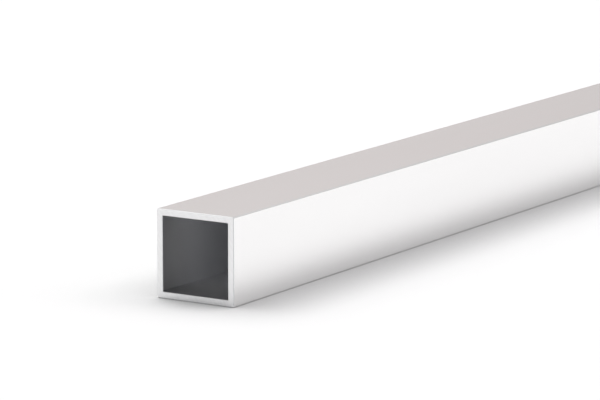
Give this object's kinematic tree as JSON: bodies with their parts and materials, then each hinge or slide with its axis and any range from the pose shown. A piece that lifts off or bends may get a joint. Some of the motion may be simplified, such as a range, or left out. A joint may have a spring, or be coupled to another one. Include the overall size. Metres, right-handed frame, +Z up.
{
  "type": "square metal tube",
  "caption": "Straight hollow square aluminium tube with thin even walls, nearly sharp corners and square-sawn open ends: raw stock for frames, legs and rails.",
  "frame": {"origin": "the middle of the underside, on the floor that the tube lies on", "axes": "+X along the length, +Y across it, +Z up"},
  "size_m": [1, 0.02, 0.02],
  "materials": {
    "aluminium": "satin mill finish"
  },
  "bodies": {
    "root": {"square_tube": "aluminium"}
  },
  "joints": []
}
